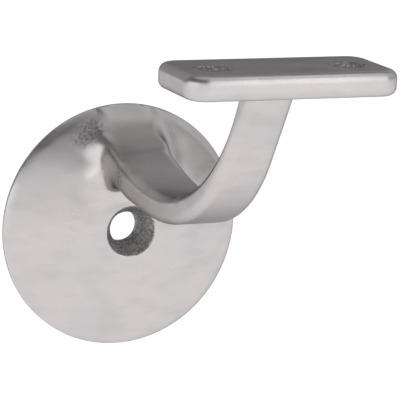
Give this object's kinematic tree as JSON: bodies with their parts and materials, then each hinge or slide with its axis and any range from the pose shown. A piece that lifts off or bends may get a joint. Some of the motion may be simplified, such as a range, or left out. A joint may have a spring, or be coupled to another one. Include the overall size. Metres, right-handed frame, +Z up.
{
  "type": "handrail bracket",
  "caption": "Cast handrail bracket: a domed wall rose with a countersunk hole, a cranked tapering arm that grows out of the dome, and a flat saddle plate for the rail.",
  "frame": {"origin": "middle of the rose's flat back face, on the axis of the wall screw hole", "axes": "X runs along the rail, +Y points into the wall so the bracket stands out towards -Y, +Z is up towards the rail"},
  "size_m": [0.06, 0.0989, 0.0843],
  "materials": {
    "steel": "satin"
  },
  "bodies": {
    "root": {"bracket_casting": "steel"}
  },
  "joints": []
}
